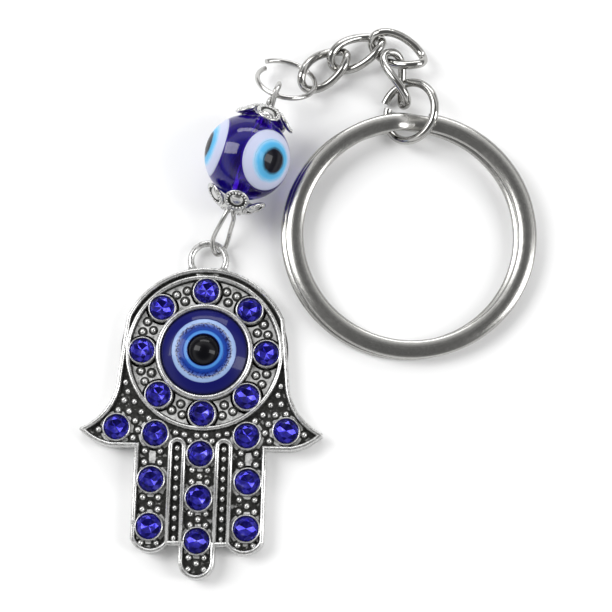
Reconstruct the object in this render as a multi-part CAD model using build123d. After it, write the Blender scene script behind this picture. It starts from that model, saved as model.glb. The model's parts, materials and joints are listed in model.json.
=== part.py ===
from build123d import *
import math
import os

# Evil eye key charm: a cast hamsa hand with 19 stones and a domed eye hangs by a hairpin wire
# through a glass eye bead, a jump ring, four twisted links and a second jump ring from a split ring.
# Lengths are millimetres and angles degrees. The charm lies on its back on the plane z = 0.

os.makedirs("parts", exist_ok=True)

# ---- driving dimensions ----------------------------------------------------------------------
# Hand casting, in the hand's own frame: u right, v towards the bail, origin at the eye's centre.
HAND_R = 10.0              # round top edge about the eye
HAND_THICK = 2.3           # back to rim top
FLOOR_Z = 1.5              # sunk ground between the rims
RIM_W = 0.5
STONE_RIM_R = 9.1          # rim outside the ring of eight stones
STONE_RIM_W = 0.45
BEZEL_R = 5.65
BEZEL_W = 0.6
BEZEL_Z = 2.6
THUMB_TIP_U = 13.95
FINGER_U = 5.5             # centre of an outer finger
FINGER_HALF = 2.05
FINGER_TIP_V = -23.1
MIDDLE_TIP_V = -25.95
WEB_V = -22.2              # lower edge of the plate between two fingers
CHANNEL_U = 2.68           # slot between two fingers
CHANNEL_HALF = 0.52
CHANNEL_WALL = 0.6
CHANNEL_TOP_V = -9.95      # outside of the arch that closes a slot's top
CHANNEL_GRAINS = 10
CHANNEL_GRAIN_TOP_V = -11.15
CHANNEL_GRAIN_STEP = 1.14
BAIL_V = 11.1
BAIL_R = 2.06
BAIL_WIRE_R = 0.39
BAIL_Z = 1.2
BAIL_FOOT = (2.4, 1.2, 1.6)
BAIL_FOOT_SINK = 0.7       # how far the foot's centre lies inside the palm's edge
GRANULE_R = 0.38
EMBED = 0.1                # how far one cast feature sinks into the next
OVERRUN = 1.0              # how far a cutter runs past what it cuts

# Stones and the domed eye
STONE_R = 1.42
STONE_TABLE_R = 0.85
STONE_GIRDLE_Z = 2.2
STONE_TOP_Z = 2.75
CUP_WALL = 0.22
CUP_GAP = 0.05
CUP_TOP_Z = 2.3
STONE_RING_R = 7.2
STONE_RING_COUNT = 8
EYE_R = 5.0
EYE_EDGE_Z = 2.3
EYE_TOP_Z = 3.9
INLAY_Z = 2.2
WHITE_R = 3.7
SPECKLE_R = 3.1
IRIS_R = 2.35
PUPIL_R = 1.84
PUPIL_TOP_Z = 4.6
PUPIL_SINK = 0.35          # the pupil's bulge starts this far under the dome's top

# Glass bead, its caps and the hairpin wire
BEAD_R = 5.0
BEAD_BORE_R = 0.75
BEAD_OFFSET = 0.35         # the bore runs beside the centre
BEAD_EYES = ((45.0, 0.0), (-72.5, -3.5), (174.5, 0.0))  # turn about the bore, tilt to the top cap
BEAD_SLIDE = -0.35         # where the loose bead lies along the pin
BOTTOM_CAP_SLIDE = -0.2    # how far the bottom cap hangs clear of the bead
BEAD_WHITE_R = 3.5
BEAD_IRIS_R = 2.35
BEAD_PUPIL_R = 1.45
BEAD_INLAY_DEPTH = 3.2     # flat back of an inlaid eye, from the bead's centre
CAP_BORE_R = 0.8
CAP_GAP = 0.05             # least gap as the off-centre bead turns under its caps
PETALS = 5
PETAL_R = 1.5
PETAL_THICK = 0.8
PETAL_TILT = 40.0
PETAL_OUT = 2.5
PETAL_UP = 5.3
PETAL_DISH_R = 0.95
PETAL_DISH_RISE = 1.35     # centre of the dish's ball above the petal's face
CONE_LOW_R = 2.0
CONE_TOP_R = 1.3
CONE_HEIGHT = 1.1
CAP_TURN = 12.0
PIN_WIRE_R = 0.275
PIN_HALF_GAP = 0.3
PIN_HALF_LENGTH = 6.0      # straight part of a strand, from the bead's centre

# Rings and links
JUMP_OD = 7.7
JUMP_WIRE_R = 0.3
HEAVY_OD = 8.0
HEAVY_WIRE_R = 0.5
LINK_HALF_LENGTH = 3.35    # to the wire's centre line
LINK_HALF_WIDTH = 1.75
LINK_WIRE_R = 0.5
LINK_TWIST = 42.0          # twist of each end out of the link's plane
LINK_POWER = 2.3           # 2 is an ellipse, more is squarer
COIL_IN_R = 12.6
COIL_OUT_R = 14.75
COIL_THICK = 0.9
COIL_GAP = 0.1
COIL_SHIFT = 0.25
COIL_CORNER_R = 0.25
JOG_START = 98.0
JOG_END = 81.0

# ---- how the pieces lie: (x, y, z, yaw, pitch, roll) of each piece's own frame ----------------
HAND_LAY = (-11.76, -5.90, 0.0, -1.5, 0.0, 0.0)
PIN_CENTRE = Vector(-6.39, 16.90, 5.0)
PIN_YAW = 20.0             # clockwise from +Y
PIN_RISE = 6.0
JUMP_LAY = (-2.40, 27.00, 2.70, -20.0, 1.0, -36.5)
LINK_LAYS = (
    (2.13, 28.82, 1.66, 40.5, -5.3, 3.7),
    (6.13, 31.00, 1.66, 24.4, 4.1, -4.0),
    (11.03, 30.95, 2.23, -26.1, 2.2, 2.7),
    (10.95, 27.30, 2.40, -73.9, -6.0, 113.6),
)
HEAVY_LAY = (12.35, 23.08, 2.56, 0.4, 36.2, 2.0)
KEY_LAY = (12.05, 8.18, 1.78, 0.0, 0.0, 2.9)

# Bends of the hairpin: the wide loop through the bail, then the small loop past the top cap,
# counted from the middle of the two strands' upper ends.
WIDE_LOOP = (
    (-9.45, 9.9, 4.05), (-10.35, 8.5, 3.15), (-10.95, 7.35, 2.1), (-10.9, 6.45, 1.6),
    (-10.5, 5.98, 1.0), (-10.05, 6.25, 0.47), (-9.45, 7.15, 0.75), (-8.9, 8.5, 2.2),
    (-8.45, 9.75, 3.55),
)
SMALL_LOOP = ((0.55, 1.1, -0.1), (1.0, 2.35, -0.45), (1.0, 3.1, -1.3), (0.55, 2.45, -2.1),
              (0.1, 1.2, -1.35))
SMALL_LOOP_RISE = 0.4


def lay(pose):
    """Frame with its x axis along the piece: yaw about Z, then pitch lifting +x, then roll."""
    x, y, z, yaw, pitch, roll = pose
    return (Location((x, y, z)) * Location((0, 0, 0), (0, 0, 1), yaw)
            * Location((0, 0, 0), (0, 1, 0), -pitch) * Location((0, 0, 0), (1, 0, 0), roll))


def ring(outer, width, low, high):
    """Flat-topped ring about the Z axis."""
    return extrude(Plane.XY.offset(low) * (Circle(outer) - Circle(outer - width)), high - low)


def disc(radius, low, high):
    return extrude(Plane.XY.offset(low) * Circle(radius), high - low)


# ---- hand casting ----------------------------------------------------------------------------
def hand_outline():
    """Half outline from the top of the palm round the thumb to the middle fingertip, mirrored."""
    shoulder = math.radians(24)
    top_end = (HAND_R * math.cos(shoulder), HAND_R * math.sin(shoulder))
    mid = (HAND_R * math.cos(math.radians(57)), HAND_R * math.sin(math.radians(57)))
    finger_out = FINGER_U + FINGER_HALF
    web_in = CHANNEL_U + CHANNEL_HALF
    half = [
        ThreePointArc((0, HAND_R), mid, top_end),
        ThreePointArc(top_end, (9.6, 0), (9.98, -4)),
        ThreePointArc((9.98, -4), (11.2, -6.95), (13.75, -9.05)),
        ThreePointArc((13.75, -9.05), (THUMB_TIP_U, -9.3), (13.7, -9.55)),
        ThreePointArc((13.7, -9.55), (12.2, -10.6), (10.3, -11.2)),
        Line((10.3, -11.2), (finger_out, -11.2)),
        Line((finger_out, -11.2), (finger_out, -21.6)),
        ThreePointArc((finger_out, -21.6), (FINGER_U, FINGER_TIP_V), (web_in + 0.2, WEB_V)),
        Line((web_in + 0.2, WEB_V), (FINGER_HALF, WEB_V)),
        Line((FINGER_HALF, WEB_V), (FINGER_HALF, MIDDLE_TIP_V + FINGER_HALF)),
        ThreePointArc((FINGER_HALF, MIDDLE_TIP_V + FINGER_HALF),
                      (FINGER_HALF * math.sqrt(0.5), MIDDLE_TIP_V + FINGER_HALF * (1 - math.sqrt(0.5))),
                      (0, MIDDLE_TIP_V)),
    ]
    right = Curve() + half
    return make_face(Wire(list(right.edges()) + list(mirror(right, about=Plane.YZ).edges())))


def channel_shape(half_width, top_v):
    """Slot between two fingers: a round top and straight sides, running out past the web."""
    length = top_v - WEB_V + 2 * OVERRUN + half_width
    return Pos(0, top_v - length / 2) * SlotOverall(length, 2 * half_width, rotation=90)


def channel_wall():
    """Arch-topped rim round a slot, ending at the web."""
    inside = channel_shape(CHANNEL_HALF, CHANNEL_TOP_V - CHANNEL_WALL)
    wall = channel_shape(CHANNEL_HALF + CHANNEL_WALL, CHANNEL_TOP_V) - inside
    above_web = Rectangle(4 * CHANNEL_U, CHANNEL_TOP_V - WEB_V)
    return wall & Pos(0, (CHANNEL_TOP_V + WEB_V) / 2) * above_web


def stone_places():
    """Centres of the 19 stones: a ring of eight, two thumbs, two knuckles, seven on the fingers."""
    places = []
    for i in range(STONE_RING_COUNT):
        a = math.radians(360 / STONE_RING_COUNT * i)
        places.append((STONE_RING_R * math.cos(a), STONE_RING_R * math.sin(a)))
    for side in (-1, 1):
        places += [(side * 9.72, -8.95), (side * 5.25, -9.6)]
        places += [(side * FINGER_U, -14.85), (side * FINGER_U, -20.15)]
    places += [(0, -11.8), (0, -16.8), (0, -21.65)]
    return places


def granule_places():
    """Centres of the cast grains."""
    places = []
    for i in range(STONE_RING_COUNT):
        a = 22.5 + 45 * i
        for r, turn in ((7.63, -5), (7.63, 5), (6.54, 0)):
            b = math.radians(a + turn)
            places.append((r * math.cos(b), r * math.sin(b)))
    side_grains = [(8.95, -3.7), (8.65, -4.75), (9.05, -5.78), (7.83, -5.9), (9.68, -6.9),
                   (8.41, -7.04), (7.0, -7.07), (6.1, -7.8), (7.65, -8.13), (7.3, -9.17),
                   (11.8, -9.25), (7.82, -10.1), (2.95, -9.35), (1.95, -9.55), (0.5, -9.6),
                   (1.3, -10.25)]
    for u, v in side_grains:
        places += [(u, v), (-u, v)]
    for side in (-1, 1):
        for v in (-11.55, -12.85, -16.85, -18.2, -22.0):
            places += [(side * FINGER_U - 0.9, v), (side * FINGER_U + 0.9, v)]
        places.append((side * FINGER_U, -17.55))
        places += [(side * CHANNEL_U, CHANNEL_GRAIN_TOP_V - CHANNEL_GRAIN_STEP * i)
                   for i in range(CHANNEL_GRAINS)]
    for v in (-13.6, -14.95, -18.55, -19.85, -23.5, -24.8):
        places += [(-0.9, v), (0.9, v)]
    places += [(0, v) for v in (-14.3, -19.2, -24.15)]
    return places


def hand_casting():
    """Plate, rims, stone cups, bezel, grains and bail, cast in one piece."""
    face = hand_outline()
    rim_plane = Plane.XY.offset(FLOOR_Z - EMBED)
    rim_height = HAND_THICK - FLOOR_Z + EMBED
    body = extrude(face, FLOOR_Z)
    body += extrude(rim_plane * (face - offset(face, -RIM_W, kind=Kind.INTERSECTION)), rim_height)
    for side in (-1, 1):
        place = Pos(side * CHANNEL_U, 0)
        body += extrude(rim_plane * place * channel_wall(), rim_height)
        slot = channel_shape(CHANNEL_HALF, CHANNEL_TOP_V - CHANNEL_WALL)
        body -= extrude(Plane.XY.offset(FLOOR_Z) * place * slot, HAND_THICK)
    body += ring(STONE_RIM_R, STONE_RIM_W, FLOOR_Z - EMBED, HAND_THICK)
    body += ring(BEZEL_R, BEZEL_W, FLOOR_Z - EMBED, BEZEL_Z)
    body -= disc(EYE_R + CUP_GAP, FLOOR_Z, BEZEL_Z + OVERRUN)
    pocket_r = STONE_R + CUP_GAP
    cup = disc(pocket_r + CUP_WALL, FLOOR_Z - EMBED, CUP_TOP_Z)
    pocket = disc(pocket_r, FLOOR_Z, HAND_THICK + OVERRUN)
    body += [Pos(u, v, 0) * cup for u, v in stone_places()]
    body += [Pos(u, v, FLOOR_Z) * Sphere(GRANULE_R) for u, v in granule_places()]
    body -= [Pos(u, v, 0) * pocket for u, v in stone_places()]
    bail = Pos(0, BAIL_V, BAIL_Z) * Torus(BAIL_R, BAIL_WIRE_R)
    foot = Pos(0, HAND_R - BAIL_FOOT_SINK, BAIL_Z) * Box(*BAIL_FOOT)
    return body + bail + foot


def stone():
    """One faceted stone: straight girdle, sloping crown and flat table."""
    top = loft([Plane.XY.offset(STONE_GIRDLE_Z) * Circle(STONE_R),
                Plane.XY.offset(STONE_TOP_Z) * Circle(STONE_TABLE_R)])
    return disc(STONE_R, FLOOR_Z + CUP_GAP, STONE_GIRDLE_Z) + top


def eye_dome():
    """Low domed body that the eye's layers are cut from."""
    rise = EYE_TOP_Z - EYE_EDGE_Z
    radius = (EYE_R ** 2 + rise ** 2) / (2 * rise)
    ball = Pos(0, 0, EYE_TOP_Z - radius) * Sphere(radius)
    return ball & disc(EYE_R, FLOOR_Z + CUP_GAP, EYE_TOP_Z + OVERRUN)


def eye_layers():
    """Eye layers, outside in: base, white ring, speckled ring, iris and bulging pupil."""
    dome = eye_dome()
    layers = {"eye_base": dome - disc(WHITE_R, INLAY_Z, EYE_TOP_Z + OVERRUN)}
    names = ("eye_white_ring", "eye_speckle_ring", "eye_iris_ring")
    radii = (WHITE_R, SPECKLE_R, IRIS_R, PUPIL_R)
    for name, outer, inner in zip(names, radii, radii[1:]):
        layers[name] = dome & ring(outer, outer - inner, INLAY_Z, EYE_TOP_Z + OVERRUN)
    rise = PUPIL_TOP_Z - EYE_TOP_Z + PUPIL_SINK
    radius = (PUPIL_R ** 2 + rise ** 2) / (2 * rise)
    pupil = Pos(0, 0, PUPIL_TOP_Z - radius) * Sphere(radius) + disc(PUPIL_R, INLAY_Z, PUPIL_TOP_Z - rise)
    layers["eye_pupil"] = pupil & disc(PUPIL_R, INLAY_Z, PUPIL_TOP_Z + OVERRUN)
    return layers


# ---- bead, caps and pin: built along +Z, then laid along the pin's axis ------------------------
def pin_frame():
    """Frame on the pin's axis: z along the axis towards the top cap, x level to the right."""
    yaw, rise = math.radians(PIN_YAW), math.radians(PIN_RISE)
    axis = Vector(math.sin(yaw) * math.cos(rise), math.cos(yaw) * math.cos(rise), math.sin(rise))
    side = Vector(math.cos(yaw), -math.sin(yaw), 0)
    return Plane(origin=PIN_CENTRE, x_dir=side, z_dir=axis)


def bead_parts():
    """Glass ball with three layered eyes let into it, bored beside its centre."""
    ball = Sphere(BEAD_R)
    bore = Pos(BEAD_OFFSET, 0, 0) * Cylinder(BEAD_BORE_R, 4 * BEAD_R)
    parts = {}
    body = ball - bore
    for number, (angle, tilt) in enumerate(BEAD_EYES, 1):
        # local -y of the pin frame points up, so an angle of 0 faces up
        facing = Location((0, 0, 0), (0, 0, 1), angle) * Location((0, 0, 0), (1, 0, 0), 90 - tilt)
        radii = (BEAD_WHITE_R, BEAD_IRIS_R, BEAD_PUPIL_R, 0)
        for name, outer, inner in zip(("white", "iris", "pupil"), radii, radii[1:]):
            tool = disc(outer, BEAD_INLAY_DEPTH, BEAD_R + OVERRUN)
            if inner:
                tool -= disc(inner, BEAD_INLAY_DEPTH, BEAD_R + OVERRUN)
            parts[f"bead_{name}_{number}"] = ball & facing * tool
        body -= facing * disc(BEAD_WHITE_R, BEAD_INLAY_DEPTH, BEAD_R + OVERRUN)
    parts["bead_glass"] = body
    return {name: Pos(-BEAD_OFFSET, 0, 0) * part for name, part in parts.items()}


def bead_cap():
    """Flower cap over the +z end of the bead: a cone with five dished round petals."""
    middle = Pos(0, 0, PETAL_UP + CONE_HEIGHT / 2) * Cone(CONE_LOW_R, CONE_TOP_R, CONE_HEIGHT)
    petal = Cylinder(PETAL_R, PETAL_THICK)
    dish = Sphere(math.hypot(PETAL_DISH_R, PETAL_DISH_RISE))
    petal -= Pos(0, 0, PETAL_THICK / 2 + PETAL_DISH_RISE) * dish
    seat = Location((PETAL_OUT, 0, PETAL_UP)) * Location((0, 0, 0), (0, 1, 0), PETAL_TILT)
    petals = [Location((0, 0, 0), (0, 0, 1), 360 / PETALS * i) * seat * petal for i in range(PETALS)]
    cap = middle + petals
    cap -= Sphere(BEAD_R + BEAD_OFFSET + CAP_GAP)
    return cap - Cylinder(CAP_BORE_R, 4 * BEAD_R)


def hairpin_wire():
    """Hairpin: two straight strands through the bead, a wide loop and a small loop."""
    frame = pin_frame()
    axis = frame.z_dir

    def strand(side, along):
        return frame.from_local_coords(Vector(side * PIN_HALF_GAP, 0, along))

    left_low, left_high = strand(-1, -PIN_HALF_LENGTH), strand(-1, PIN_HALF_LENGTH)
    right_low, right_high = strand(1, -PIN_HALF_LENGTH), strand(1, PIN_HALF_LENGTH)
    top = strand(0, PIN_HALF_LENGTH + SMALL_LOOP_RISE)
    wide = [left_low] + [Vector(*bend) for bend in WIDE_LOOP] + [right_low]
    small = [right_high] + [top + Vector(*bend) for bend in SMALL_LOOP] + [left_high]
    stretches = [
        Line(left_high, left_low),
        Spline(*wide, tangents=[-axis, axis]),
        Line(right_low, right_high),
        Spline(*small, tangents=[axis, -axis]),
    ]
    return closed_wire(stretches, PIN_WIRE_R)


def wire_along(path, radius):
    """Round wire swept along an open path."""
    section = Plane(origin=path @ 0, z_dir=path % 0) * Circle(radius)
    return sweep(section, path=path)


def closed_wire(halves, radius):
    """Round wire round a closed loop, made of open stretches that meet end to end."""
    pieces = [wire_along(half, radius) for half in halves]
    return pieces[0] + pieces[1:]


# ---- rings and links -------------------------------------------------------------------------
def open_ring(outer_d, wire_r, cut_at, cut, drift):
    """Wire ring cut at one angle, its ends apart by the cut and sprung by a small drift."""
    radius = outer_d / 2 - wire_r
    points = []
    steps = 24
    for i in range(steps + 1):
        share = i / steps
        a = math.radians(cut_at + cut / 2 + (360 - cut) * share)
        spring = drift * 4 * (share - 0.5) ** 3
        r = radius + spring
        points.append((r * math.cos(a), r * math.sin(a), spring))
    return wire_along(Spline(*points), wire_r)


def twisted_link():
    """Closed oval link whose two ends are twisted opposite ways, so that a chain lies flat."""
    points = []
    steps = 24
    for i in range(steps):
        c, s = math.cos(2 * math.pi * i / steps), math.sin(2 * math.pi * i / steps)
        x = LINK_HALF_LENGTH * math.copysign(abs(c) ** (2 / LINK_POWER), c)
        w = LINK_HALF_WIDTH * math.copysign(abs(s) ** (2 / LINK_POWER), s)
        twist = math.radians(-LINK_TWIST * x / LINK_HALF_LENGTH)
        points.append((x, w * math.cos(twist), w * math.sin(twist)))
    loop = Spline(*points, periodic=True)
    return closed_wire([loop.trim(0, 0.5), loop.trim(0.5, 1)], LINK_WIRE_R)


def coil_section(angle, shift, level):
    """Rounded flat section of the split ring's strip at one angle."""
    a = math.radians(angle)
    out = Vector(math.cos(a), math.sin(a), 0)
    middle = out * (COIL_IN_R + COIL_OUT_R) / 2 + Vector(shift, 0, level)
    plane = Plane(origin=middle, x_dir=out, z_dir=Vector(-math.sin(a), math.cos(a), 0))
    return plane * RectangleRounded(COIL_OUT_R - COIL_IN_R, COIL_THICK, COIL_CORNER_R)


def split_ring():
    """Two flat coils joined by a jog, the tip of each coil lying beside the jog."""
    level = (COIL_THICK + COIL_GAP) / 2
    turn = 360 - (JOG_START - JOG_END)
    coils = []
    for start, shift, z in ((JOG_START, COIL_SHIFT, level), (JOG_START, -COIL_SHIFT, -level)):
        section = coil_section(start, shift, z)
        coils.append(revolve(section, Axis((shift, 0, 0), (0, 0, 1)), turn))
    sections = []
    steps = 4
    for i in range(steps + 1):
        share = i / steps
        ease = math.cos(math.pi * share)
        angle = JOG_START + (JOG_END - JOG_START) * share
        sections.append(coil_section(angle, COIL_SHIFT * ease, level * ease))
    return coils[0] + coils[1] + loft(sections)


def build():
    """Every node by name, where it lies."""
    nodes = {}
    hand = lay(HAND_LAY)
    nodes["hand_casting"] = hand * hand_casting()
    for number, (u, v) in enumerate(stone_places(), 1):
        nodes[f"stone_{number:02d}"] = hand * Pos(u, v, 0) * stone()
    for name, layer in eye_layers().items():
        nodes[name] = hand * layer
    bead_frame = pin_frame().location * Pos(0, 0, BEAD_SLIDE)
    for name, part in bead_parts().items():
        nodes[name] = bead_frame * part
    cap = bead_cap()
    nodes["top_bead_cap"] = bead_frame * Location((0, 0, 0), (0, 0, 1), -90 + CAP_TURN) * cap
    under = bead_frame * Pos(0, 0, BOTTOM_CAP_SLIDE) * Location((0, 0, 0), (1, 0, 0), 180)
    nodes["bottom_bead_cap"] = under * Location((0, 0, 0), (0, 0, 1), 90 - CAP_TURN) * cap
    nodes["hairpin_wire"] = hairpin_wire()
    nodes["jump_ring"] = lay(JUMP_LAY) * open_ring(JUMP_OD, JUMP_WIRE_R, 152, 9, 0.5)
    for number, pose in enumerate(LINK_LAYS, 1):
        nodes[f"chain_link_{number}"] = lay(pose) * twisted_link()
    nodes["heavy_jump_ring"] = lay(HEAVY_LAY) * open_ring(HEAVY_OD, HEAVY_WIRE_R, 158, 8, 0.4)
    nodes["split_key_ring"] = lay(KEY_LAY) * split_ring()
    return nodes


def centred(nodes):
    """Move everything so that the origin is the bottom centre of the whole charm's box."""
    boxes = [part.bounding_box() for part in nodes.values()]
    x = (min(b.min.X for b in boxes) + max(b.max.X for b in boxes)) / 2
    y = (min(b.min.Y for b in boxes) + max(b.max.Y for b in boxes)) / 2
    shift = Pos(-x, -y, -min(b.min.Z for b in boxes))
    return shift, {name: shift * part for name, part in nodes.items()}


SHIFT, NODES = centred(build())
for node, shape in NODES.items():
    export_step(shape, f"parts/{node}.step")
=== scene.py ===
import json
import math

import bmesh
import bpy
from bpy.props import FloatProperty, FloatVectorProperty, IntProperty, PointerProperty
from mathutils import Matrix, Vector


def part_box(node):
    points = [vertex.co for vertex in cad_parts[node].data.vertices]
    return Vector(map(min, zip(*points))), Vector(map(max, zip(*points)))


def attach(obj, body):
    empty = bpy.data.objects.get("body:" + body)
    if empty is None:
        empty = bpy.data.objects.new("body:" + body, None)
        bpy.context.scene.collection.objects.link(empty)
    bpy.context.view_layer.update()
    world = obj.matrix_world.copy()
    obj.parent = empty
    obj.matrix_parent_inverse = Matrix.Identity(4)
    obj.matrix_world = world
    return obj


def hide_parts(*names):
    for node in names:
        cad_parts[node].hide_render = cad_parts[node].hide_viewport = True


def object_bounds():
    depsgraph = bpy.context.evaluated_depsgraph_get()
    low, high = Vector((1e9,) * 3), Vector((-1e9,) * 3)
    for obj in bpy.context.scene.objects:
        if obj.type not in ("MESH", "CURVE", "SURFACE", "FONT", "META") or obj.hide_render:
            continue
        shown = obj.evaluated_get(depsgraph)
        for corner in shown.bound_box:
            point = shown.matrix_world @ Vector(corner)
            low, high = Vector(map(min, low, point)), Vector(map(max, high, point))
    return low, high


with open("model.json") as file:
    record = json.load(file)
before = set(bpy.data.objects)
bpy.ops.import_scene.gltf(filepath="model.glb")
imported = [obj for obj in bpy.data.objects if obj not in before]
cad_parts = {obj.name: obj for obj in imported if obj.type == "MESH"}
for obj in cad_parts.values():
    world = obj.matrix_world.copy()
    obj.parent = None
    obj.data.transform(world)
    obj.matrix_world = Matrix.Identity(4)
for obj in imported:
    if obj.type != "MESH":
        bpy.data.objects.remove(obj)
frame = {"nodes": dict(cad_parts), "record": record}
CAD_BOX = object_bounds()

bl_info = {
    "name": "Hamsa key charm",
    "version": (1, 0, 0),
    "blender": (4, 5, 0),
    "location": "3D View > Sidebar > Key charm",
    "description": "Makes the looks of a hamsa hand key charm with a glass eye bead",
    "category": "Object",
}

# Lengths in the hand and bead sections are millimetres in the piece's own frame; MM makes them metres.
MM = 0.001
TAU = 2 * math.pi

# ---- hand casting: u right, v towards the bail, z up from the back, origin under the eye
BACK_CHAMFER = 0.18
HAND_TOP = 2.3                 # top of the rims
GROUND = 1.5                   # sunk ground between the rims
SUNK = GROUND - 0.05           # feet of rims and cups, just under the ground
LINE_Z = GROUND + 0.02         # level of the dark line of patina and painted shade along a rim's foot
LAYER = 0.012                  # step between the ground, its bright patches and the dark rings of patina and painted shade on them
PALM_R = 10.0
FINGER_U = 5.5
FINGER_HALF = 2.05
FINGER_ROOT_V = -11.2
CHANNEL_U = 2.68
CHANNEL_HALF = 0.52
CHANNEL_RIM = 0.5
CHANNEL_TOP_V = -9.95
WEB_V = -22.2
OUTER_TIP_V = -23.1
MIDDLE_TIP_V = -25.95
WEB_WAIST = ((0.75, -10.9), (0.42, -11.5), (0.36, -12.2), (0.42, -12.9), (0.8, -13.5))  # half-width, v
STONE_RIM_R = 9.1
BEZEL_R = 5.65
PALM_RINGS = ((STONE_RIM_R, 0.45, HAND_TOP), (BEZEL_R, 0.6, 2.6))  # outer radius, width, top
STONE_R = 1.42
CUP_SECTION = ((0.03, GROUND), (0.03, 2.24), (0.09, 2.3), (0.17, 2.25), (0.24, 2.0),
               (0.30, GROUND + 0.03), (0.30, SUNK), (0.03, SUNK))  # out from the stone, z
BAIL_V = 11.1
BAIL_R = 2.06
BAIL_WIRE_R = 0.39
BAIL_SWELL = 0.25              # share by which the bail's wire is thicker where it meets the palm
BAIL_Z = 1.2
BAIL_FOOT = ((1.35, 9.55), (1.5, 10.1), (2.25, 10.15), (2.45, 9.3))
BAIL_FOOT_Z = (0.75, 1.65)

# ---- domed eye, in the hand's frame
EYE_R = 5.0
EYE_TOP = 3.9
EYE_BACK = 1.6
PUPIL_R = 1.84
PUPIL_RISE = 1.0
PUPIL_TOP = 4.5
EYE_LAYERS = (("eye_base", 3.7, EYE_R, "navy_glass"), ("eye_white_ring", 3.1, 3.7, "pale_blue_enamel"),
              ("eye_speckle_ring", 2.35, 3.1, "speckled_enamel"),
              ("eye_iris_ring", PUPIL_R, 2.35, "mid_blue_enamel"),
              ("eye_pupil", 0.0, PUPIL_R, "black_glass"))  # node, inner and outer radius, slot

# ---- bead and caps: z along the pin, x level, origin at the bead's middle
BEAD_R = 5.0
BEAD_OFFSET = 0.35
BEAD_BORE_R = 0.75
BEAD_EYES = ((45.0, 0.0), (-72.5, -3.5), (174.5, 0.0))  # turn about the bore, tilt to the top cap
BEAD_EYE_DEPTH = 3.2
BEAD_EYE_PROUD = 0.015
BEAD_LAYERS = (("white", 2.35, 3.5, "white_glass"), ("iris", 1.45, 2.35, "sky_glass"),
               ("pupil", 0.0, 1.45, "black_glass"))
PETALS = 5
PETAL_TILT = 40.0
PETAL_OUT = 2.5
PETAL_UP = 5.3
CAP_TURN = 12.0
BEADING_R = 1.12               # middle of a petal's ring of small beads
BEADING_UP = 0.1
COLLAR_R = 1.12                # middle of the ring of small beads round the pin
COLLAR_UP = 6.4
COLLAR_COUNT = 12
BOTTOM_CAP_SLIDE = -0.2        # how far the bottom cap hangs clear of the bead

# ---- split ring: millimetres from its middle
COIL_IN_R = 12.6
COIL_OUT_R = 14.75
COIL_THICK = 0.9
COIL_LEVEL = 0.5
COIL_SHIFT = 0.25
COIL_CROWN = 0.28
COIL_EDGE = 0.06               # drop of the rounded edge
JOG_START = 98.0
JOG_END = 81.0
COIL_TILT = math.radians(2.9)
COIL_STEPS = 360

# ---- stage: metres
FLOOR_R = 1.5
ROOM_TILT = math.radians(-14)
ROOM_TONES = ((0.0, 0.60), (0.08, 0.22), (0.26, 0.26), (0.40, 1.15), (0.58, 1.05), (0.70, 0.45),
              (0.84, 0.20), (1.0, 0.17))  # from straight down, over the horizon, to straight up
SOFT_BOXES = (("left box", (-0.30, 0.10, 0.34), (0.22, 0.30), 1.3),
              ("right box", (0.34, -0.06, 0.26), (0.14, 0.30), 0.8),
              ("back strip", (0.02, 0.42, 0.22), (0.40, 0.10), 0.7))  # name, place, size, watts
CAMERA_AIM = Vector((-0.00055, -0.00085, 0.0))
CAMERA_DISTANCE = 0.1865
CAMERA_TILT = math.radians(11.9)
CAMERA_LENS = 93.2
CAMERA_CLIP = 0.005


# ---- what a user would change
def colour(label, description, default):
    return FloatVectorProperty(name=label, description=description, default=default,
                               subtype="COLOR", min=0, max=1, size=3)


def length(label, description, default):
    return FloatProperty(name=label, description=description, default=default, unit="LENGTH",
                         precision=5)


class CharmSizes(bpy.types.PropertyGroup):
    rim_width: length("Rim width", "Width of the raised rim round the hand", 0.5 * MM)
    grain_radius: length("Grain radius", "Radius of a cast grain", 0.38 * MM)
    # Size of the dark ring of patina and painted shade round each grain's foot.
    patina_and_shade_radius: length("Patina and shade radius", "Radius of the dark ring round a grain", 0.64 * MM)
    beading_radius: length("Beading radius", "Radius of a bead on a petal's rim", 0.16 * MM)
    beading_count: IntProperty(name="Beading count", description="Beads round one petal",
                               default=18, min=6, max=40)


class CharmColours(bpy.types.PropertyGroup):
    silver: colour("Silver", "Worn plating on rims and grains", (0.66, 0.66, 0.65))
    # Colour of the blackened ground, and through the tarnish material also of the painted shade at the feet
    # of rims and grains.
    tarnish_and_shade: colour("Tarnish", "Blackened ground between the rims", (0.022, 0.022, 0.020))
    nickel: colour("Nickel", "Plated rings and links", (0.44, 0.435, 0.42))
    steel: colour("Ring steel", "Tumbled strip of the split ring", (0.50, 0.495, 0.475))
    sapphire: colour("Sapphire", "Foiled stones", (0.007, 0.003, 0.30))
    navy: colour("Navy", "Clear edge of the domed eye", (0.005, 0.006, 0.105))
    cobalt: colour("Cobalt", "Glass of the bead", (0.055, 0.008, 0.60))
    sky: colour("Sky", "Iris of the bead's eyes", (0.09, 0.42, 0.72))
    milk: colour("Milk", "White of the eyes", (0.62, 0.66, 0.86))


def sizes():
    return bpy.context.scene.charm_sizes


def colours():
    return bpy.context.scene.charm_colours


# ---- where the pieces lie, from the frame
def middle(node):
    """Middle of a node's box."""
    low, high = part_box(node)
    return (Vector(low) + Vector(high)) / 2


def hand_place():
    """Matrix from the hand's millimetres to the shared frame; stone_01 lies along +u from the eye."""
    eye = middle("eye_pupil")
    along = middle("stone_01") - eye
    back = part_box("hand_casting")[0][2]
    turn = Matrix.Rotation(math.atan2(along.y, along.x), 4, "Z")
    return Matrix.Translation((eye.x, eye.y, back)) @ turn @ Matrix.Scale(MM, 4)


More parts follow.
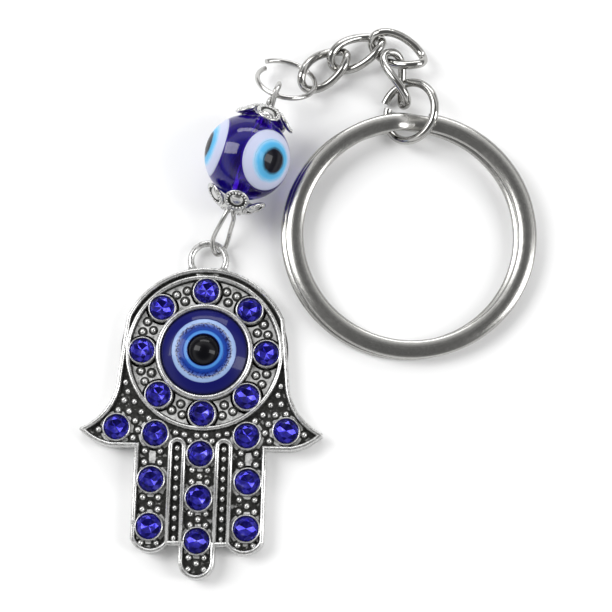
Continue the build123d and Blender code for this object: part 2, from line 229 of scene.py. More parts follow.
def pin_place():
    """Matrix from the bead's millimetres to the shared frame, from the joint that the bead spins on."""
    joint = next(j for j in frame["record"]["behaviour"]["joints"] if j["name"] == "bead_spin")
    axis = Vector(joint["axis"]).normalized()
    side = Vector((axis.y, -axis.x, 0)).normalized()
    turn = Matrix((side, axis.cross(side), axis)).transposed().to_4x4()
    return Matrix.Translation(joint["pos_m"]) @ turn @ Matrix.Scale(MM, 4)


# ---- mesh helpers
def lathe(bm, profile, place=Matrix(), steps=64, material=0, closed=True):
    """Turned shape about z: profile is a list of (r, z), and r = 0 closes to one point."""
    rings = []
    for r, z in profile:
        if r < 1e-6:
            rings.append([bm.verts.new(place @ Vector((0, 0, z)))])
            continue
        rings.append([bm.verts.new(place @ Vector((r * math.cos(TAU * i / steps),
                                                   r * math.sin(TAU * i / steps), z)))
                      for i in range(steps)])
    pairs = list(zip(rings, rings[1:]))
    if closed:
        pairs.append((rings[-1], rings[0]))
    for low, high in pairs:
        if len(low) == 1 and len(high) == 1:
            continue
        for i in range(steps):
            corners = [low[i % len(low)], low[(i + 1) % len(low)],
                       high[(i + 1) % len(high)], high[i % len(high)]]
            face = bm.faces.new(list(dict.fromkeys(corners)))
            face.material_index = material
            face.smooth = True


def arc(start, through, end, steps):
    """Points from start to just before end on the circle through three points."""
    ax, ay = start
    bx, by = through
    cx, cy = end
    d = 2 * (ax * (by - cy) + bx * (cy - ay) + cx * (ay - by))
    a2, b2, c2 = ax * ax + ay * ay, bx * bx + by * by, cx * cx + cy * cy
    ox = (a2 * (by - cy) + b2 * (cy - ay) + c2 * (ay - by)) / d
    oy = (a2 * (cx - bx) + b2 * (ax - cx) + c2 * (bx - ax)) / d
    r = math.hypot(ax - ox, ay - oy)
    first = math.atan2(ay - oy, ax - ox)
    turn_through = (math.atan2(by - oy, bx - ox) - first) % TAU
    turn = (math.atan2(cy - oy, cx - ox) - first) % TAU
    if turn_through > turn:
        turn -= TAU
    return [(ox + r * math.cos(first + turn * i / steps), oy + r * math.sin(first + turn * i / steps))
            for i in range(steps)]


def inward(path, closed):
    """Mitred unit offsets to the right of each point's way along a flat path."""
    count = len(path)
    offsets = []
    for i, point in enumerate(path):
        before = path[(i - 1) % count] if closed or i else None
        after = path[(i + 1) % count] if closed or i < count - 1 else None
        ways = []
        if before is not None:
            ways.append((Vector(point) - Vector(before)).normalized())
        if after is not None:
            ways.append((Vector(after) - Vector(point)).normalized())
        way = sum(ways, Vector((0, 0))).normalized()
        normal = Vector((way.y, -way.x))
        spread = max(0.5, normal.dot(Vector((ways[0].y, -ways[0].x))))
        offsets.append(normal / spread)
    return offsets


def skin(bm, rows, closed=True, material=0):
    """Faces between rows of vertices that are each a closed section, with both ends filled if open."""
    pairs = list(zip(rows, rows[1:]))
    if closed:
        pairs.append((rows[-1], rows[0]))
    count = len(rows[0])
    for here, there in pairs:
        for i in range(count):
            j = (i + 1) % count
            face = bm.faces.new((here[i], here[j], there[j], there[i]))
            face.material_index = material
            face.smooth = True
    if not closed:
        for row in (rows[0], rows[-1]):
            bm.faces.new(row).material_index = material


def rib(bm, path, profile, place, closed=True, material=0):
    """Profile of (offset, z), offset to the right of the path, carried along a flat path."""
    rows = []
    for point, side in zip(path, inward(path, closed)):
        rows.append([bm.verts.new(place @ Vector((point[0] + side.x * d, point[1] + side.y * d, z)))
                     for d, z in profile])
    skin(bm, rows, closed, material)


def half_round(width, low, top):
    """Closed cross-section of a rim with a rounded top."""
    edge = min(0.45 * width, 0.35 * (top - low))
    points = [(0.0, low)]
    for i in range(7):
        a = math.pi - math.pi * i / 6
        points.append((width / 2 + width / 2 * math.cos(a), top - edge + edge * math.sin(a)))
    points.append((width, low))
    return points


def patina_and_shade_foot(start, reach, height):
    """Closed cross-section of the dark line along a rim's foot: patina, with painted shade in the crease.
    """
    return [(start, LINE_Z), (start + reach, LINE_Z), (start, GROUND + height)]


def sheet_fill(bm, loop, z, place, material=0, flip=False):
    """Flat face inside a loop of points, cut into triangles before it is scaled down."""
    verts = [bm.verts.new((u, v, z)) for u, v in loop]
    face = bm.faces.new(verts[::-1] if flip else verts)
    face.material_index = material
    face.normal_update()
    bmesh.ops.triangulate(bm, faces=[face], ngon_method="EAR_CLIP")
    for vert in verts:
        vert.co = place @ vert.co


def as_mesh(name, bm):
    """Mesh data of bm, which is then freed."""
    mesh = bpy.data.meshes.new(name)
    bm.to_mesh(mesh)
    bm.free()
    return mesh


def add_object(name, data):
    """New object at the origin of the scene."""
    made = bpy.data.objects.new(name, data)
    bpy.context.collection.objects.link(made)
    return made


def piece(name, bm, materials, body, nodes, recalculate=True):
    """Finished mesh object that rides on a body and stands for CAD nodes."""
    if recalculate:
        bmesh.ops.recalc_face_normals(bm, faces=bm.faces)
    place_piece(name, as_mesh(name, bm), materials, body, nodes)


def place_piece(name, mesh, materials, body, nodes):
    """Object of a finished mesh, put on its body's empty, with the CAD nodes it stands for hidden."""
    if not mesh.materials:
        for material in materials:
            mesh.materials.append(material)
    made = add_object(name, mesh)
    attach(made, body)
    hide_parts(*nodes)


# ---- scattering one shape over points with Geometry Nodes
def scatter_tree():
    """Tree that puts a turned, scaled shape on every vertex of its own mesh."""
    tree = bpy.data.node_groups.get("Scatter shape on points")
    if tree:
        return tree
    tree = bpy.data.node_groups.new("Scatter shape on points", "GeometryNodeTree")
    for name, kind in (("Geometry", "Geometry"), ("Shape", "Object"), ("Scale", "Float"),
                       ("Random turn", "Float"), ("Size spread", "Float"), ("Seed", "Int"),
                       ("Material", "Material")):
        tree.interface.new_socket(name, in_out="INPUT", socket_type="NodeSocket" + kind)
    tree.interface.new_socket("Geometry", in_out="OUTPUT", socket_type="NodeSocketGeometry")
    nodes = tree.nodes
    given = nodes.new("NodeGroupInput")
    result = nodes.new("NodeGroupOutput")
    shape = nodes.new("GeometryNodeObjectInfo")
    place = nodes.new("GeometryNodeInstanceOnPoints")
    turn = nodes.new("FunctionNodeRandomValue")
    turn_axis = nodes.new("ShaderNodeCombineXYZ")
    spread = nodes.new("FunctionNodeRandomValue")
    smaller = nodes.new("ShaderNodeMath")
    size = nodes.new("ShaderNodeMath")
    normal = nodes.new("GeometryNodeInputNamedAttribute")
    upright = nodes.new("FunctionNodeAlignRotationToVector")
    rotate = nodes.new("GeometryNodeRotateInstances")
    realize = nodes.new("GeometryNodeRealizeInstances")
    paint = nodes.new("GeometryNodeSetMaterial")
    smaller.operation = "SUBTRACT"
    smaller.inputs[0].default_value = 1.0
    size.operation = "MULTIPLY"
    normal.data_type = "FLOAT_VECTOR"
    normal.inputs["Name"].default_value = "up"
    upright.axis = "Z"
    spread.inputs[3].default_value = 1.0
    for source, target in (
            (given.outputs["Geometry"], place.inputs["Points"]),
            (given.outputs["Shape"], shape.inputs["Object"]),
            (shape.outputs["Geometry"], place.inputs["Instance"]),
            (normal.outputs["Attribute"], upright.inputs["Vector"]),
            (upright.outputs["Rotation"], place.inputs["Rotation"]),
            (given.outputs["Size spread"], smaller.inputs[1]),
            (smaller.outputs[0], spread.inputs[2]),
            (given.outputs["Seed"], spread.inputs["Seed"]),
            (spread.outputs[1], size.inputs[0]),
            (given.outputs["Scale"], size.inputs[1]),
            (size.outputs[0], place.inputs["Scale"]),
            (given.outputs["Random turn"], turn.inputs[3]),
            (given.outputs["Seed"], turn.inputs["Seed"]),
            (turn.outputs[1], turn_axis.inputs["Z"]),
            (place.outputs["Instances"], rotate.inputs["Instances"]),
            (turn_axis.outputs[0], rotate.inputs["Rotation"]),
            (rotate.outputs["Instances"], realize.inputs["Geometry"]),
            (realize.outputs["Geometry"], paint.inputs["Geometry"]),
            (given.outputs["Material"], paint.inputs["Material"]),
            (paint.outputs["Geometry"], result.inputs["Geometry"])):
        tree.links.new(source, target)
    return tree


def scatter(points, shape_bm, values):
    """Plain mesh of the shape on every (place, up) point; both in the shared frame."""
    cloud = bpy.data.meshes.new("points")
    cloud.from_pydata([tuple(place) for place, up in points], [], [])
    ups = cloud.attributes.new("up", "FLOAT_VECTOR", "POINT")
    for i, (place, up) in enumerate(points):
        ups.data[i].vector = up
    shape = add_object("shape", as_mesh("shape", shape_bm))
    bearer = add_object("bearer", cloud)
    tree = scatter_tree()
    modifier = bearer.modifiers.new("Scatter", "NODES")
    modifier.node_group = tree
    given = {"Shape": shape, "Scale": 1.0, "Random turn": 0.0, "Size spread": 0.0, "Seed": 1}
    given.update(values)
    for item in tree.interface.items_tree:
        if item.in_out == "INPUT" and item.name in given:
            modifier[item.identifier] = given[item.name]
    graph = bpy.context.evaluated_depsgraph_get()
    mesh = bpy.data.meshes.new_from_object(bearer.evaluated_get(graph))
    bearer.modifiers.remove(modifier)
    for spare in (bearer, shape):
        bpy.data.objects.remove(spare)
    return mesh


def absorb(bm, mesh, material):
    """Add a mesh's faces to bm with one material index."""
    before = len(bm.faces)
    bm.from_mesh(mesh)
    bm.faces.ensure_lookup_table()
    for face in bm.faces[before:]:
        face.material_index = material
        face.smooth = True
    bpy.data.meshes.remove(mesh)


# ---- finishes
def fill_ramp(node, stops):
    """Stops of a colour ramp, each a place with a grey value or a colour."""
    elements = node.color_ramp.elements
    while len(elements) < len(stops):
        elements.new(0.5)
    for element, (position, value) in zip(elements, stops):
        element.position = position
        element.color = (*value, 1.0) if hasattr(value, "__len__") else (value, value, value, 1.0)


class Finish:
    """A procedural material being put together round one Principled shader."""

    def __init__(self, name, **values):
        """New material; values go to the shader's sockets, with _ for a space."""
        self.material = bpy.data.materials.new(name)
        self.material.use_nodes = True
        self.nodes = self.material.node_tree.nodes
        self.links = self.material.node_tree.links
        self.shader = self.nodes["Principled BSDF"]
        for socket, value in values.items():
            self.shader.inputs[socket.replace("_", " ")].default_value = value
        self.place = self.nodes.new("ShaderNodeTexCoord").outputs["Object"]

    def noise(self, size, detail=3.0, roughness=0.55):
        """Noise whose features are about size metres across."""
        node = self.nodes.new("ShaderNodeTexNoise")
        node.inputs["Scale"].default_value = 1 / size
        node.inputs["Detail"].default_value = detail
        node.inputs["Roughness"].default_value = roughness
        self.links.new(self.place, node.inputs["Vector"])
        return node.outputs["Fac"]

    def ramp(self, factor, stops):
        """Colour looked up by a factor."""
        node = self.nodes.new("ShaderNodeValToRGB")
        fill_ramp(node, stops)
        self.links.new(factor, node.inputs["Fac"])
        return node.outputs["Color"]

    def mix(self, factor, first, second):
        """Blend of two colours or sockets."""
        node = self.nodes.new("ShaderNodeMix")
        node.data_type = "RGBA"
        self.links.new(factor, node.inputs["Factor"])
        for socket, value in ((node.inputs[6], first), (node.inputs[7], second)):
            if isinstance(value, bpy.types.NodeSocket):
                self.links.new(value, socket)
            else:
                socket.default_value = (*value, 1.0)
        return node.outputs[2]

    def span(self, factor, low, high, out_low=0.0, out_high=1.0):
        """Factor from low to high, stretched to run from out_low to out_high."""
        node = self.nodes.new("ShaderNodeMapRange")
        for index, value in zip((1, 2, 3, 4), (low, high, out_low, out_high)):
            node.inputs[index].default_value = value
        self.links.new(factor, node.inputs[0])
        return node.outputs[0]

    def combine(self, operation, first, second):
        """Sum, product or the like of two sockets."""
        node = self.nodes.new("ShaderNodeMath")
        node.operation = operation
        self.links.new(first, node.inputs[0])
        self.links.new(second, node.inputs[1])
        return node.outputs[0]

    def level_distance(self, centre):
        """Distance from an upright line through a centre."""
        shift = self.nodes.new("ShaderNodeMapping")
        shift.vector_type = "POINT"
        shift.inputs["Location"].default_value = [-c for c in centre]
        level = self.nodes.new("ShaderNodeVectorMath")
        level.operation = "MULTIPLY"
        level.inputs[1].default_value = (1, 1, 0)
        measure = self.nodes.new("ShaderNodeVectorMath")
        measure.operation = "LENGTH"
        self.links.new(self.place, shift.inputs["Vector"])
        self.links.new(shift.outputs[0], level.inputs[0])
        self.links.new(level.outputs[0], measure.inputs[0])
        return measure.outputs["Value"]

    def attribute(self, name):
        """Value that the mesh carries on its points."""
        node = self.nodes.new("ShaderNodeAttribute")
        node.attribute_name = name
        return node.outputs["Fac"]

    def bump(self, height, depth, strength):
        """Relief of this depth in metres."""
        node = self.nodes.new("ShaderNodeBump")
        node.inputs["Strength"].default_value = strength
        node.inputs["Distance"].default_value = depth
        self.links.new(height, node.inputs["Height"])
        self.links.new(node.outputs[0], self.shader.inputs["Normal"])

    def drive(self, socket, value):
        """Link a value to one of the shader's sockets."""
        self.links.new(value, self.shader.inputs[socket])

    def dull(self, size, low, high):
        """Roughness that drifts between low and high in patches of this size."""
        self.drive("Roughness", self.span(self.noise(size), 0.3, 0.7, low, high))


def darker(value, share):
    """Colour at a share of its brightness."""
    return tuple(c * share for c in value)


def lighter(value, share):
    """Colour moved a share of the way to white."""
    return tuple(c + (1 - c) * share for c in value)


def worn_silver(name="worn silver", metallic=0.9, low=0.2, high=0.36, pits=0.35):
    """Cast plating, slightly pitted and dulled in patches."""
    silver = colours().silver
    finish = Finish(name, Metallic=metallic)
    patches = finish.noise(0.7 * MM, 4)
    finish.drive("Base Color", finish.ramp(patches, [
        (0.3, darker(silver, 0.74)), (0.5, darker(silver, 0.92)), (0.72, lighter(silver, 0.12))]))
    finish.dull(0.35 * MM, low, high)
    finish.bump(finish.noise(0.22 * MM, 4), 0.03 * MM, pits)
    return finish.material


def satin_ground():
    """Grainy silver ground, which stays pale whatever it faces."""
    finish = Finish("satin silver ground", Metallic=0.35)
    silver = colours().silver
    grime = finish.noise(0.45 * MM, 5, 0.65)
    finish.drive("Base Color", finish.ramp(grime, [
        (0.34, darker(silver, 0.3)), (0.46, darker(silver, 0.75)), (0.62, lighter(silver, 0.1))]))
    finish.dull(0.3 * MM, 0.32, 0.5)
    finish.bump(finish.noise(0.16 * MM, 4), 0.04 * MM, 0.6)
    return finish.material


def tarnished_ground():
    """Blackened ground with rubbed patches where the plating shows through."""
    finish = Finish("tarnished ground", Specular_IOR_Level=0.25)
    patches = finish.noise(0.8 * MM, 5, 0.6)
    rubbed = finish.ramp(patches, [(0.55, 0.0), (0.64, 1.0)])
    finish.drive("Base Color", finish.mix(rubbed, colours().tarnish_and_shade, darker(colours().silver, 0.6)))
    finish.drive("Metallic", finish.span(patches, 0.3, 0.7, 0.3, 0.6))
    finish.dull(0.3 * MM, 0.35, 0.6)
    finish.bump(finish.noise(0.18 * MM, 4), 0.06 * MM, 0.8)
    return finish.material


def tarnish_and_shade():
    """Plain blackened metal in the deepest recesses; also the painted shade in the dark lines at the rims'
    feet and the rings round the grains.
    """
    black = colours().tarnish_and_shade
    finish = Finish("tarnish_and_shade", Metallic=0.3, Specular_IOR_Level=0.2)
    finish.drive("Base Color", finish.ramp(finish.noise(0.3 * MM), [
        (0.4, darker(black, 0.6)), (0.75, lighter(black, 0.04))]))
    finish.dull(0.2 * MM, 0.3, 0.5)
    finish.bump(finish.noise(0.15 * MM, 3), 0.04 * MM, 0.6)
    return finish.material


def plated_nickel(name, base, low, high):
    """Smooth plating with faint drawing marks."""
    finish = Finish(name, Metallic=1.0)
    finish.drive("Base Color", finish.ramp(finish.noise(1.6 * MM), [(0.3, darker(base, 0.9)), (0.7, base)]))
    finish.dull(0.4 * MM, low, high)
    finish.bump(finish.noise(0.5 * MM, 2), 0.012 * MM, 0.5)
    return finish.material


def brushed_strip(centre):
    """Tumbled steel strip with fine streaks round the ring and small bright specks."""
    steel = colours().steel
    finish = Finish("brushed strip", Metallic=1.0)
    radius = finish.level_distance(centre)
    streak = finish.nodes.new("ShaderNodeTexNoise")
    streak.noise_dimensions = "1D"
    streak.inputs["Scale"].default_value = 1 / (0.12 * MM)
    streak.inputs["Detail"].default_value = 4
    finish.links.new(radius, streak.inputs["W"])
    speck = finish.ramp(finish.noise(0.10 * MM, 2, 0.6), [(0.66, 0.0), (0.76, 1.0)])
    streaked = finish.ramp(streak.outputs["Fac"], [(0.3, darker(steel, 0.85)), (0.7, lighter(steel, 0.06))])
    grain = finish.ramp(finish.noise(0.12 * MM, 3, 0.7), [(0.40, 0.0), (0.62, 0.55)])
    tone = finish.mix(grain, streaked, darker(steel, 0.6))
    finish.drive("Base Color", finish.mix(speck, tone, lighter(steel, 0.3)))
    finish.dull(0.5 * MM, 0.20, 0.27)
    finish.bump(streak.outputs["Fac"], 0.02 * MM, 0.2)
    return finish.material


def foiled_sapphire():
    """Blue glass over foil: every facet throws back its own tone."""
    blue = colours().sapphire
    finish = Finish("foiled sapphire", Metallic=0.85, Coat_Weight=0.35, Coat_Roughness=0.02)
    finish.drive("Base Color", finish.ramp(finish.noise(0.9 * MM, 2), [
        (0.35, darker(blue, 0.35)), (0.55, blue), (0.75, lighter(blue, 0.06))]))
    finish.dull(0.4 * MM, 0.05, 0.14)
    return finish.material


def dome_glaze():
    """Layers of the domed eye by distance from its centre, with dark speckles under the pale ring."""
    milk, navy = colours().milk, colours().navy
    finish = Finish("dome glaze", Roughness=0.3, Coat_Weight=0.3, Coat_Roughness=0.06,
                    Specular_IOR_Level=0.05)
    radius = finish.attribute("eye_radius")
    rings = finish.ramp(finish.span(radius, 0, EYE_R), [
        (0.00, (0.002, 0.002, 0.003)), (0.362, (0.002, 0.002, 0.004)), (0.378, (0.01, 0.03, 0.20)),
        (0.395, (0.075, 0.25, 0.60)), (0.438, (0.055, 0.21, 0.55)),
        (0.462, (0.008, 0.050, 0.30)), (0.545, (0.006, 0.030, 0.24)),
        (0.600, (0.08, 0.14, 0.42)), (0.628, darker(milk, 0.42)), (0.66, (0.30, 0.42, 0.66)),
        (0.735, (0.26, 0.37, 0.62)), (0.748, navy), (0.93, navy), (1.00, darker(navy, 0.3))])
    speckle = finish.ramp(finish.noise(0.24 * MM, 2, 0.7), [(0.51, 0.0), (0.55, 1.0)])
    zone = finish.ramp(finish.span(radius, 0, EYE_R), [(0.51, 0.0), (0.565, 1.0), (0.63, 1.0), (0.68, 0.0)])
    speckled = finish.combine("MULTIPLY", speckle, zone)
    finish.drive("Base Color", finish.mix(speckled, rings, (0.003, 0.004, 0.06)))
    return finish.material


def bead_glaze():
    """White, sky blue and black eye of the bead, with soft edges."""
    milk, sky = colours().milk, colours().sky
    finish = Finish("bead eye glass", Roughness=0.3, Coat_Weight=0.3, Coat_Roughness=0.02,
                    Specular_IOR_Level=0.05)
    drift = finish.span(finish.noise(1.1 * MM, 2), 0, 1, -0.16, 0.16)
    radius = finish.combine("ADD", finish.attribute("eye_radius"), drift)
    finish.drive("Base Color", finish.ramp(finish.span(radius, 0, BEAD_LAYERS[0][2]), [
        (0.0, (0.003, 0.003, 0.005)), (0.37, (0.004, 0.004, 0.010)), (0.42, darker(sky, 0.35)),
        (0.47, darker(sky, 0.85)), (0.58, sky), (0.68, lighter(sky, 0.25)), (0.76, darker(milk, 0.82)),
        (0.93, darker(milk, 0.8)), (1.0, darker(milk, 0.7))]))
    return finish.material


def cobalt_glass():
    """Clear cobalt glass with faint streaks."""
    cobalt = colours().cobalt
    finish = Finish("cobalt glass", Transmission_Weight=0.9, IOR=1.45)
    streaks = finish.noise(2.2 * MM, 2)
    finish.drive("Base Color", finish.ramp(streaks, [(0.3, darker(cobalt, 0.8)), (0.7, cobalt)]))
    finish.dull(1.0 * MM, 0.0, 0.04)
    return finish.material


# ---- the hand
def hand_outline():
    """Closed outline of the hand, clockwise from the top, so that the metal is on its right."""
    shoulder, flank = math.radians(24), math.radians(57)
    top = (PALM_R * math.cos(shoulder), PALM_R * math.sin(shoulder))
    mid = (PALM_R * math.cos(flank), PALM_R * math.sin(flank))
    out = FINGER_U + FINGER_HALF
    web = CHANNEL_U + CHANNEL_HALF + 0.2
    tip = MIDDLE_TIP_V + FINGER_HALF
    slant = FINGER_HALF * math.sqrt(0.5)
    right = arc((0, PALM_R), mid, top, 24)
    right += arc(top, (9.6, 0), (9.98, -4), 16)
    right += arc((9.98, -4), (11.2, -6.95), (13.75, -9.05), 12)
    right += arc((13.75, -9.05), (13.95, -9.3), (13.7, -9.55), 6)
    right += arc((13.7, -9.55), (12.2, -10.6), (10.3, FINGER_ROOT_V), 8)
    right += [(10.3, FINGER_ROOT_V), (out, FINGER_ROOT_V), (out, -16.4)]
    right += arc((out, -21.6), (FINGER_U, OUTER_TIP_V), (web, WEB_V), 18)
    right += [(web, WEB_V), (FINGER_HALF, WEB_V)]
    right += arc((FINGER_HALF, tip), (slant, tip - slant), (0, MIDDLE_TIP_V), 12)
    left = [(-u, v) for u, v in right[1:]][::-1]
    return right + [(0, MIDDLE_TIP_V)] + left


def offset_loop(path, distance):
    """Closed path moved into the metal by a distance."""
    return [(p[0] + side.x * distance, p[1] + side.y * distance)
            for p, side in zip(path, inward(path, True))]


def channel_path(half, top):
    """Arch-topped line round one channel, from its right foot over the top to its left foot."""
    middle_v = top - half
    points = [(half, WEB_V)]
    points += [(half * math.cos(math.pi * i / 14), middle_v + half * math.sin(math.pi * i / 14))
               for i in range(15)]
    return points + [(-half, WEB_V)]


def grain_places():
    """(u, v) of every cast grain."""
    places = []
    for i in range(8):
        for r, turn in ((7.63, -5), (7.63, 5), (6.54, 0)):
            a = math.radians(22.5 + 45 * i + turn)
            places.append((r * math.cos(a), r * math.sin(a)))
    beside = [(8.95, -3.7), (8.65, -4.75), (9.05, -5.78), (7.83, -5.9), (9.68, -6.9), (8.41, -7.04),
              (7.0, -7.07), (6.1, -7.8), (7.65, -8.13), (7.3, -9.17), (11.8, -9.25), (7.82, -10.1),
              (2.95, -9.35), (1.95, -9.55), (0.5, -9.6), (1.3, -10.25)]
    for side in (-1, 1):
        places += [(side * u, v) for u, v in beside]
        for v in (-11.55, -12.85, -16.85, -18.2, -22.0):
            places += [(side * FINGER_U - 0.9, v), (side * FINGER_U + 0.9, v)]
        places.append((side * FINGER_U, -17.55))
        places += [(side * CHANNEL_U, -11.15 - 1.14 * i) for i in range(10)]
    for v in (-13.6, -14.95, -18.55, -19.85, -23.5, -24.8):
        places += [(-0.9, v), (0.9, v)]
    return places + [(0, v) for v in (-14.3, -19.2, -24.15)]


def stone_centres():
    """Centre of every stone in the hand's own frame, read back from the frame."""
    back = hand_place().inverted()
    names = sorted(n for n in frame["nodes"] if n.startswith("stone_"))
    return names, [back @ middle(name) for name in names]


def hand_rims(bm, outline, place):
    """Outer rim, the palm's two rings, the channels' arches and the stones' cups."""
    width = sizes().rim_width / MM
    shell = [(BACK_CHAMFER, 0.0), (0.0, BACK_CHAMFER)] + half_round(width, SUNK, HAND_TOP)[1:]
    rib(bm, outline, shell, place)
    # Dark line of patina and painted shade along the outer rim's foot.
    rib(bm, outline, patina_and_shade_foot(width, 0.14, 0.25), place, material=1)
    for radius, band, top in PALM_RINGS:
        lathe(bm, [(radius - d, z) for d, z in half_round(band, SUNK, top)], place, 128)
        # Dark lines of patina and painted shade along both feet of each palm ring.
        for start, way in ((radius, 1), (radius - band, -1)):
            lathe(bm, patina_and_shade_foot(start, way * 0.15, 0.25), place, 128, material=1)
    path = channel_path(CHANNEL_HALF + CHANNEL_RIM, CHANNEL_TOP_V)
    for side in (-1, 1):
        at = place @ Matrix.Translation((side * CHANNEL_U, 0, 0))
        rib(bm, path, [(-d, z) for d, z in half_round(CHANNEL_RIM, SUNK, HAND_TOP)], at, closed=False)
        # Dark line of patina and painted shade along each arch's foot.
        rib(bm, path, [(-d, z) for d, z in patina_and_shade_foot(CHANNEL_RIM, 0.14, 0.22)], at, closed=False,
            material=1)
    for centre in stone_centres()[1]:
        at = place @ Matrix.Translation((centre.x, centre.y, 0))
        lathe(bm, [(STONE_R + out, z) for out, z in CUP_SECTION], at, 40)


def hand_grounds(bm, outline, place):
    """Back, blackened ground and the bright patches left on it."""
    bright = GROUND + LAYER
    sheet_fill(bm, offset_loop(outline, BACK_CHAMFER), 0.0, place)
    sheet_fill(bm, offset_loop(outline, 0.25), GROUND, place, material=2, flip=True)
    lathe(bm, [(BEZEL_R - 0.1, bright), (STONE_RIM_R - 0.3, bright)], place, 128, material=3, closed=False)
    lathe(bm, [(STONE_RIM_R - 0.1, GROUND + 0.1), (PALM_R - 0.3, GROUND + 0.1)], place, 128,
          material=1, closed=False)
    for side in (-1, 1):
        web = [(side * FINGER_U - half, v) for half, v in WEB_WAIST]
        web += [(side * FINGER_U + half, v) for half, v in WEB_WAIST[::-1]]
        sheet_fill(bm, web, bright, place, material=3, flip=True)
        floor = [(side * CHANNEL_U + u, v) for u, v in channel_path(CHANNEL_HALF, CHANNEL_TOP_V)]
        sheet_fill(bm, floor, bright, place, material=1)
    for centre in stone_centres()[1]:
        at = place @ Matrix.Translation((centre.x, centre.y, bright))
        lathe(bm, [(STONE_R, 0), (STONE_R + 0.52, 0)], at, 40, material=3, closed=False)


def hand_grains(bm, place):
    """Grains and the dark ring of patina and painted shade round each grain's foot, scattered by the tree.
    """
    up = (0, 0, 1)
    points = [(place @ Vector((u, v, GROUND)), up) for u, v in grain_places()]
    ball = bmesh.new()
    radius = sizes().grain_radius
    lathe(ball, [(0, radius * 1.15)] + [(radius * math.sin(a), radius * (0.15 + math.cos(a)))
                                        for a in (0.35, 0.7, 1.05, 1.4, 1.7)] + [(radius, -0.05 * MM)],
          steps=16, closed=False)
    absorb(bm, scatter(points, ball, {"Size spread": 0.1, "Seed": 3}), 0)
    # Dark ring of patina and painted shade round each grain's foot.
    patina_shade_ring = bmesh.new()
    wide = sizes().patina_and_shade_radius
    lathe(patina_shade_ring, [(radius * 0.8, 2 * LAYER * MM), (wide, 2 * LAYER * MM)], steps=20, closed=False)
    absorb(bm, scatter(points, patina_shade_ring, {"Size spread": 0.15, "Seed": 5}), 1)


def bail(bm, place):
    """Ring cast on the top of the palm, with two feet."""
    steps, around = 56, 16
    rows = []
    for i in range(steps):
        a = TAU * i / steps
        thick = BAIL_WIRE_R * (1 + BAIL_SWELL * max(0.0, -math.sin(a)) ** 2)
        row = []
        for j in range(around):
            reach = BAIL_R + thick * math.cos(TAU * j / around)
            row.append(bm.verts.new(place @ Vector((reach * math.cos(a), BAIL_V + reach * math.sin(a),
                                                    BAIL_Z + thick * math.sin(TAU * j / around)))))
        rows.append(row)
    skin(bm, rows)
    for side in (-1, 1):
        low, high = [[bm.verts.new(place @ Vector((side * u, v, z))) for u, v in BAIL_FOOT]
                     for z in BAIL_FOOT_Z]
        bm.faces.new(low)
        bm.faces.new(high)
        for i in range(4):
            bm.faces.new((low[i], low[(i + 1) % 4], high[(i + 1) % 4], high[i]))


class CHARM_OT_hand(bpy.types.Operator):
    """Cast hand: rims, cups, grains, blackened ground and bail"""
    bl_idname = "charm.hand"
    bl_label = "Hand casting"

    def execute(self, context):
        place = hand_place()
        outline = hand_outline()
        bm = bmesh.new()
        hand_rims(bm, outline, place)
        bail(bm, place)
        bmesh.ops.recalc_face_normals(bm, faces=bm.faces)
        hand_grounds(bm, outline, place)
        hand_grains(bm, place)
        finishes = [worn_silver(), tarnish_and_shade(), tarnished_ground(), satin_ground()]
        piece("hand_casting_detail", bm, finishes, "hand", ["hand_casting"],
              recalculate=False)
        return {"FINISHED"}


# ---- stones and the domed eye
def gem(bm):
    """Round stone with a star table, sixteen crown facets and a closed back, in metres."""
    def around(count, r, z, turn=0.0):
        return [bm.verts.new((MM * r * math.cos(TAU * i / count + turn),
                              MM * r * math.sin(TAU * i / count + turn), MM * z)) for i in range(count)]

    half = TAU / 16
    heart = bm.verts.new((0, 0, 0.86 * MM))
    star = around(8, 0.45, 1.06, half)
    table = around(8, 0.86, 1.20)
    mids = around(8, 1.15, 1.02, half)
    girdle = around(16, STONE_R, 0.66)
    foot = around(16, STONE_R, 0.10)
    for i in range(8):
        j = (i + 1) % 8
        bm.faces.new((heart, star[i - 1], table[i]))
        bm.faces.new((heart, table[i], star[i]))
        bm.faces.new((star[i], table[i], table[j]))
        bm.faces.new((table[i], mids[i], table[j]))
        bm.faces.new((table[i], mids[i - 1], girdle[2 * i], mids[i]))
        bm.faces.new((mids[i], girdle[2 * i], girdle[2 * i + 1]))
        bm.faces.new((mids[i], girdle[2 * i + 1], girdle[(2 * i + 2) % 16]))
    for i in range(16):
        bm.faces.new((girdle[i], foot[i], foot[(i + 1) % 16], girdle[(i + 1) % 16]))
    bm.faces.new(foot[::-1])
    bmesh.ops.recalc_face_normals(bm, faces=bm.faces)


class CHARM_OT_stones(bpy.types.Operator):
    """Nineteen faceted stones, each turned its own way"""
    bl_idname = "charm.stones"
    bl_label = "Stones"

    def execute(self, context):
        names, centres = stone_centres()
        place = hand_place()
        points = [(place @ Vector((c.x, c.y, GROUND)), (0, 0, 1)) for c in centres]
        shape = bmesh.new()
        gem(shape)
        blue = foiled_sapphire()
        mesh = scatter(points, shape, {"Random turn": TAU / 8, "Seed": 11, "Material": blue})
        place_piece("sapphire_stones", mesh, [blue], "hand", names)
        return {"FINISHED"}


def eye_shell(bm, inner, outer, top, back, place):
    """Turned ring or disc whose upper face follows top(r), with its radius kept as an attribute."""
    rings = 10
    radii = [inner + (outer - inner) * i / rings for i in range(rings + 1)]
    profile = [(r, top(r)) for r in radii] + [(outer, back), (inner, back)]
    layer = bm.verts.layers.float.new("eye_radius")
    lathe(bm, profile, place, 96)
    inverse = place.inverted()
    for vert in bm.verts:
        local = inverse @ vert.co
        vert[layer] = math.hypot(local.x, local.y)


def ball_top(radius, height):
    """Height at r of a ball of this radius whose top is at height."""
    return lambda r: height - radius + math.sqrt(max(0.0, radius ** 2 - r ** 2))


def dome_top(rim_r, rise, height):
    """Height at r of a dome of this rim radius and rise whose top is at height."""
    return ball_top((rim_r ** 2 + rise ** 2) / (2 * rise), height)


